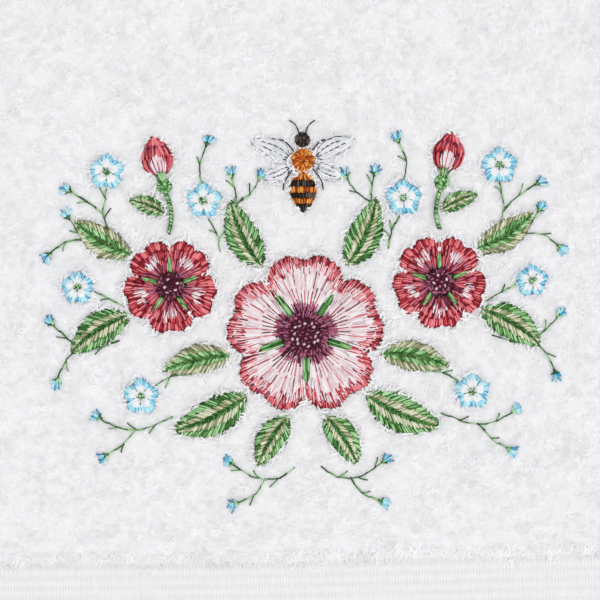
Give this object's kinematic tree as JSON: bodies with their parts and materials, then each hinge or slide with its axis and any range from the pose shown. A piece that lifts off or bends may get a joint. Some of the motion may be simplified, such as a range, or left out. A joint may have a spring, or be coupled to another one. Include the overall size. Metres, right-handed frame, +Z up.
{
  "type": "embroidered hand towel",
  "caption": "White terry hand towel laid flat, with folded hems, a ribbed flat-woven border near each end and an embroidered flower garland above one border.",
  "frame": {"origin": "under the middle of the towel, on the surface it lies on", "axes": "X across the width, Y along the length with the embroidered end at -Y, Z up"},
  "size_m": [0.406, 0.66, 0.006],
  "materials": {
    "cotton_terry": "soft white cotton terry with flat woven hems and borders",
    "thread_blush": "satin embroidery thread, blush",
    "thread_crimson": "satin embroidery thread, crimson",
    "thread_plum": "satin embroidery thread, plum",
    "thread_green": "satin embroidery thread, leaf green",
    "thread_khaki": "satin embroidery thread, khaki",
    "thread_sky": "satin embroidery thread, sky blue",
    "thread_orange": "satin embroidery thread, orange",
    "thread_black": "satin embroidery thread, black",
    "thread_white": "satin embroidery thread, white"
  },
  "bodies": {
    "root": {"bee_head": "thread_black", "bee_tail": "thread_black", "bee_thorax": "thread_orange", "bee_wing_back_left": "thread_white", "bee_wing_back_right": "thread_white", "bee_wing_front_left": "thread_white", "bee_wing_front_right": "thread_white", "bloom_eye": "thread_plum", "bloom_petal_1": "thread_blush", "bloom_petal_2": "thread_blush", "bloom_petal_3": "thread_blush", "bloom_petal_4": "thread_blush", "bloom_petal_5": "thread_blush", "bud_stem_left": "thread_green", "bud_stem_right": "thread_green", "calyx_left": "thread_green", "calyx_right": "thread_green", "leaf_bud_left": "thread_green", "leaf_bud_right": "thread_green", "leaf_inner_left": "thread_khaki", "leaf_inner_right": "thread_khaki", "leaf_low_left": "thread_green", "leaf_low_right": "thread_green", "leaf_outer_left": "thread_green", "leaf_outer_right": "thread_green", "leaf_rising_left": "thread_khaki", "leaf_rising_right": "thread_khaki", "leaf_under_left": "thread_green", "leaf_under_right": "thread_green", "leaf_upper_left": "thread_green", "leaf_upper_right": "thread_green", "rosebud_left": "thread_crimson", "rosebud_right": "thread_crimson", "side_bloom_left_eye": "thread_plum", "side_bloom_left_petal_1": "thread_crimson", "side_bloom_left_petal_2": "thread_crimson", "side_bloom_left_petal_3": "thread_crimson", "side_bloom_left_petal_4": "thread_crimson", "side_bloom_left_petal_5": "thread_crimson", "side_bloom_right_eye": "thread_plum", "side_bloom_right_petal_1": "thread_crimson", "side_bloom_right_petal_2": "thread_crimson", "side_bloom_right_petal_3": "thread_crimson", "side_bloom_right_petal_4": "thread_crimson", "side_bloom_right_petal_5": "thread_crimson", "star_corner_left": "thread_sky", "star_corner_right": "thread_sky", "star_low_left": "thread_sky", "star_low_right": "thread_sky", "star_side_left": "thread_sky", "star_side_right": "thread_sky", "star_top_left": "thread_sky", "star_top_right": "thread_sky", "towel_cloth": "cotton_terry"}
  },
  "joints": []
}
